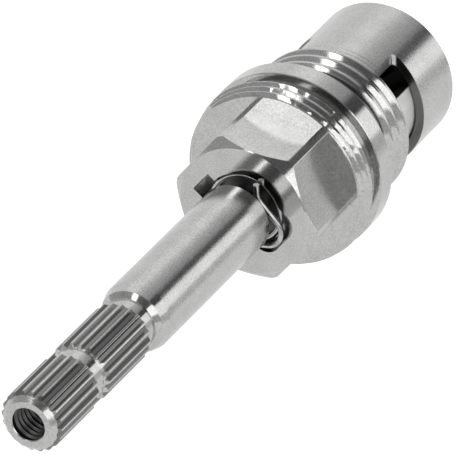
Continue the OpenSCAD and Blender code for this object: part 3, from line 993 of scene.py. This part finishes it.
class CARTRIDGE_OT_spindle(bpy.types.Operator):
    """Model the spindle: two spline bands, the shank, the journal and the tapped hole"""

    bl_idname = "cartridge.spindle"
    bl_label = "Spindle"

    def execute(self, context):
        s = in_mm(context.scene.cartridge_spindle)
        looks = context.scene.cartridge_finishes
        flank = s.spline_radius - 0.13
        crest = s.spline_radius - 0.03
        tip_edge = s.tip - s.tip_chamfer
        hole_end = s.tip - s.screw_depth
        journal = s.journal_radius
        metal = plated(
            "spindle_plating",
            looks.plating,
            looks.spindle_gloss,
            0.9,
            # Painted shade in the spline's valleys, the clip groove beside the journal and the handle
            # screw's hole
            shaded_hollows=[
                ShadedHollow(flank, crest, s.rear_band + 0.1, s.rear_band_high - s.spline_depth, 0.36),
                ShadedHollow(flank, crest, s.front_band + 0.1, tip_edge + s.spline_depth - 0.06, 0.36),
                ShadedHollow(journal + 0.02, journal + 0.1, s.journal_high - 0.3, s.shank_low - 0.02, 0.2),
                ShadedHollow(s.screw_root + 0.1, s.screw_root + 0.2, hole_end - 0.1, s.tip - 0.12, 0.2),
            ],
            polished=[
                (s.shoulder - s.shoulder_steep - s.shoulder_taper - 0.1, s.rear_band + 0.05),
                (s.rear_band_high - 0.05, s.front_band + 0.05),
            ],
        )
        splined = combine(spline_bar(s), spline_envelope(s), "INTERSECT")
        splined = cut(splined, screw_hole(s))
        shape = join(spindle_core(s), splined, screw_thread(s), *square_end(s))
        place(shape, "splined_spindle", "rotor", metal, "spindle")
        return {"FINISHED"}


# Retaining clip


def clip_route(s, body, spindle):
    """Points along the wire: ear, straight in the groove, corner in the pocket, ring in the mouth."""

    def bend(centre, radius, first, last, count):
        """Points of a clockwise bend, by the direction in which the wire heads."""
        headings = [first + (last - first) * i / count for i in range(count + 1)]
        return [centre + radius * Vector((-math.sin(t), math.cos(t))) for t in headings]

    def climb(points, first, last):
        """Lifts points to heights that go evenly from first to last, counted from the front face."""
        steps = len(points) - 1
        rises = [first + (last - first) * i / steps for i in range(steps + 1)]
        return [Vector((*point, body.face + rise)) for point, rise in zip(points, rises)]

    line = spindle.clip_neck + s.wire_radius + s.wire_gap
    ring = body.bore - s.wire_radius - s.wire_gap / 4
    along = Vector((math.cos(s.slope), math.sin(s.slope)))
    out = Vector((-along.y, along.x))
    corner_x = s.pocket_reach - s.wire_gap - s.wire_radius - s.bend_radius
    straight = (corner_x - (line - s.bend_radius) * out.x) / along.x
    corner = (line - s.bend_radius) * out + straight * along
    leave = math.atan2(-corner.y, -corner.x) + math.asin((ring - s.bend_radius) / corner.length)
    ear = Vector((-1.15, 1.5))
    ear_rise = 0.65
    ear_root = line * out - 0.8 * along
    start = ear_root + 0.4 * ear
    end = ear_root + 0.9 * along
    ear_steps = 8
    ear_bend = []
    for i in range(ear_steps + 1):
        t = i / ear_steps
        ear_bend.append((1 - t) ** 2 * start + 2 * t * (1 - t) * ear_root + t * t * end)
    ring_rise = s.wire_radius + 0.1 - (body.face - spindle.journal_high)
    return (
        [Vector((*(ear_root + ear), body.face + ear_rise))]
        + climb(ear_bend, 0.55, 0.4)
        + climb(bend(corner, s.bend_radius, s.slope, leave, 28), -0.1, -0.3)
        + climb(bend(Vector((0, 0)), ring, leave, s.ring_end, 110), -0.3, ring_rise)
    )


def bent_wire(route, radius):
    """A round wire along the route, with closed ends, turned to the mouth."""
    curve = bpy.data.curves.new("wire", "CURVE")
    curve.dimensions = "3D"
    curve.bevel_depth = radius
    curve.bevel_resolution = 5
    curve.use_fill_caps = True
    spline = curve.splines.new("POLY")
    spline.points.add(len(route) - 1)
    for point, corner in zip(spline.points, route):
        point.co = (*corner, 1)
    scratch = bpy.data.objects.new("wire", curve)
    mesh = bpy.data.meshes.new_from_object(scratch)
    bm = bmesh.new()
    bm.from_mesh(mesh)
    bpy.data.objects.remove(scratch)
    bpy.data.curves.remove(curve)
    bpy.data.meshes.remove(mesh)
    bmesh.ops.transform(bm, matrix=TO_MOUTH, verts=bm.verts)
    return clean(bm)


class CARTRIDGE_OT_clip(bpy.types.Operator):
    """Bend the retaining clip from one wire"""

    bl_idname = "cartridge.clip"
    bl_label = "Retaining clip"

    def execute(self, context):
        looks = context.scene.cartridge_finishes
        s = in_mm(context.scene.cartridge_clip)
        body = in_mm(context.scene.cartridge_body)
        spindle = in_mm(context.scene.cartridge_spindle)
        shape = bent_wire(clip_route(s, body, spindle), s.wire_radius)
        steel = drawn_wire("clip_steel", looks.wire, 0.2)
        sharp = math.radians(60)
        place(shape, "bent_clip", "housing", steel, "retaining_clip", sharp)
        return {"FINISHED"}


# Driver, discs and seals


class CARTRIDGE_OT_inside(bpy.types.Operator):
    """Finish the driver, the ceramic discs, the seals and the washers"""

    bl_idname = "cartridge.inside"
    bl_label = "Driver, discs and seals"

    def execute(self, context):
        looks = context.scene.cartridge_finishes
        # The discs' dark colour is partly painted shade for the inside of the sleeve
        ceramic = moulded("disc_ceramic", looks.ceramic, 0.22, 9000, 0.001)
        plastic = moulded("washer_plastic", looks.plastic, 0.5, 5000, 0.003)
        # The driver is darkened by painted shade inside 7.8 mm from the axis, for the shadow inside the
        # sleeve
        driver = moulded("driver_plastic", looks.driver, 0.3, 5000, 0.003, shaded_within=7.8)
        finish_node("disc_driver", driver)
        for node in ("turning_disc", "fixed_disc"):
            finish_node(node, ceramic)
        for node in ("upper_o_ring", "lower_o_ring", "base_seal"):
            finish_node(node, rubber(looks))
        for node in ("slip_washer", "seal_support_ring"):
            finish_node(node, plastic)
        return {"FINISHED"}


# Stage

# Brightness of the tent's cloth by direction around the axis, in degrees from the side that faces the
# camera: behind the part, beside it and in front of it
TENT_BACK = (
    (-180, 0.8), (-120, 0.86), (-84, 0.84), (-68, 1.0), (-52, 1.0), (-42, 0.74), (-28, 0.54),
    (-12, 0.4), (-3, 0.1), (11, 0.08), (16, 1.22), (42, 1.27), (48, 0.66), (60, 0.62),
    (70, 0.84), (95, 0.8), (120, 0.68), (150, 0.75), (180, 0.8),
)
TENT_SIDE = (
    (-180, 0.6), (-120, 0.45), (-60, 0.42), (-40, 0.33), (-25, 0.2), (3, 0.18), (8, 1.6),
    (36, 1.6), (42, 0.5), (80, 0.5), (120, 0.45), (180, 0.6),
)
TENT_FRONT = (
    (-180, 0.6), (-102, 0.35), (-71, 0.45), (-67, 3.2), (-56, 3.2), (-52, 0.22), (-22, 0.12),
    (5, 0.12), (9, 1.65), (45, 1.7), (50, 0.48), (77, 0.52), (102, 0.4), (180, 0.6),
)
# Where each of these starts: how far towards the front, as a share of the tent's radius
TENT_RINGS = ((TENT_SIDE, 0.15, 0.35), (TENT_FRONT, 0.62, 0.7))


def stage_piece(name, bm, material):
    piece = add_object(bm, name)
    piece.data.materials.append(material)
    return piece


def add_floor(studio):
    """A pale floor that the camera sees as white outside the part's shadow."""
    paint = Finish("floor_paint")
    path = paint.add("ShaderNodeLightPath").socket.node.outputs
    seen = Wire(paint, path["Is Camera Ray"])
    mirrored = Wire(paint, path["Is Glossy Ray"])
    shown_light = 0.62
    mirrored_light = 0.28
    glow = seen * shown_light + mirrored * mirrored_light
    lit = paint.add("ShaderNodeBsdfDiffuse", {}, {"Color": (0.8, 0.8, 0.8, 1.0)})
    shown = paint.add("ShaderNodeEmission", {}, {"Strength": glow})
    both = paint.add("ShaderNodeAddShader", {}, {0: lit, 1: shown})
    paint.add("ShaderNodeOutputMaterial", {}, {"Surface": both})
    bm = bmesh.new()
    bmesh.ops.create_grid(bm, x_segments=4, y_segments=4, size=6)
    bmesh.ops.translate(bm, verts=bm.verts, vec=(0, 0, -studio.floor_drop))
    stage_piece("floor", bm, paint.material)


def add_tent(studio):
    """A round tent of lit cloth with bright and dark panels, which the camera looks through."""
    cloth = Finish("tent_cloth")
    x, y, z = cloth.parts(cloth.add("ShaderNodeTexCoord", output="Object"))
    towards = math.cos(CAMERA_SIDE) * x + math.sin(CAMERA_SIDE) * z
    across = math.sin(CAMERA_SIDE) * x - math.cos(CAMERA_SIDE) * z
    around = cloth.add("ShaderNodeMath", {"operation": "ARCTAN2"}, {0: across, 1: towards})
    place_on_ramp = around / math.tau + 0.5

    def ramp(stops):
        scaled = [(degrees / 360 + 0.5, light / studio.tent_light) for degrees, light in stops]
        return cloth.add("ShaderNodeValToRGB", {"stops": scaled}, {"Fac": place_on_ramp})

    light = ramp(TENT_BACK)
    forward = 0 - y / studio.tent_radius
    for stops, low, high in TENT_RINGS:
        light = cloth.blend(cloth.step(forward, low, high), light, ramp(stops))
    glow = cloth.add("ShaderNodeEmission", {}, {"Color": light, "Strength": studio.tent_light})
    cloth.add("ShaderNodeOutputMaterial", {}, {"Surface": glow})
    bm = bmesh.new()
    bmesh.ops.create_uvsphere(bm, u_segments=48, v_segments=24, radius=studio.tent_radius)
    tent = stage_piece("light_tent", bm, cloth.material)
    tent.visible_camera = False
    tent.visible_shadow = False


def add_world(scene):
    scene.world = bpy.data.worlds.new("studio")
    scene.world.use_nodes = True
    air = Finish("studio", scene.world.node_tree)
    light = air.add("ShaderNodeBackground", {}, {"Color": (1.0, 1.0, 1.0, 1.0), "Strength": 1.0})
    air.add("ShaderNodeOutputWorld", {}, {"Surface": light})


def add_camera(scene, studio):
    camera = bpy.data.cameras.new("camera")
    camera.sensor_width = 36.0
    camera.lens = studio.lens
    camera.clip_end = 50.0
    stand = bpy.data.objects.new("camera", camera)
    stand.location = studio.camera_place
    stand.rotation_euler = studio.camera_turn
    scene.collection.objects.link(stand)
    scene.camera = stand


class CARTRIDGE_OT_stage(bpy.types.Operator):
    """Set up the floor, the light tent, the world and the camera"""

    bl_idname = "cartridge.stage"
    bl_label = "Stage"

    def execute(self, context):
        studio = context.scene.cartridge_studio
        add_floor(studio)
        add_tent(studio)
        add_world(context.scene)
        add_camera(context.scene, studio)
        context.scene.view_settings.view_transform = "Standard"
        return {"FINISHED"}


# Add-on


class CARTRIDGE_PT_panel(bpy.types.Panel):
    """Lists the cartridge's pieces"""

    bl_label = "Tap cartridge"
    bl_space_type = "VIEW_3D"
    bl_region_type = "UI"
    bl_category = "Cartridge"

    def draw(self, context):
        for operator in OPERATORS:
            self.layout.operator(operator.bl_idname)
        for name in GROUPS:
            group = getattr(context.scene, name)
            box = self.layout.box()
            for prop in group.__annotations__:
                box.prop(group, prop)


GROUPS = {
    "cartridge_body": CartridgeBodySizes,
    "cartridge_spindle": CartridgeSpindleSizes,
    "cartridge_clip": CartridgeClipSizes,
    "cartridge_finishes": CartridgeFinishes,
    "cartridge_studio": CartridgeStudio,
}
OPERATORS = (
    CARTRIDGE_OT_stage,
    CARTRIDGE_OT_body,
    CARTRIDGE_OT_spindle,
    CARTRIDGE_OT_clip,
    CARTRIDGE_OT_inside,
)
CLASSES = (*GROUPS.values(), *OPERATORS, CARTRIDGE_PT_panel)


def register():
    for kind in CLASSES:
        bpy.utils.register_class(kind)
    for name, group in GROUPS.items():
        setattr(bpy.types.Scene, name, PointerProperty(type=group))


def unregister():
    for name in GROUPS:
        delattr(bpy.types.Scene, name)
    for kind in reversed(CLASSES):
        bpy.utils.unregister_class(kind)


def main():
    register()
    bpy.ops.cartridge.stage()
    bpy.ops.cartridge.body()
    bpy.ops.cartridge.spindle()
    bpy.ops.cartridge.clip()
    bpy.ops.cartridge.inside()


if __name__ == "__main__":
    main()
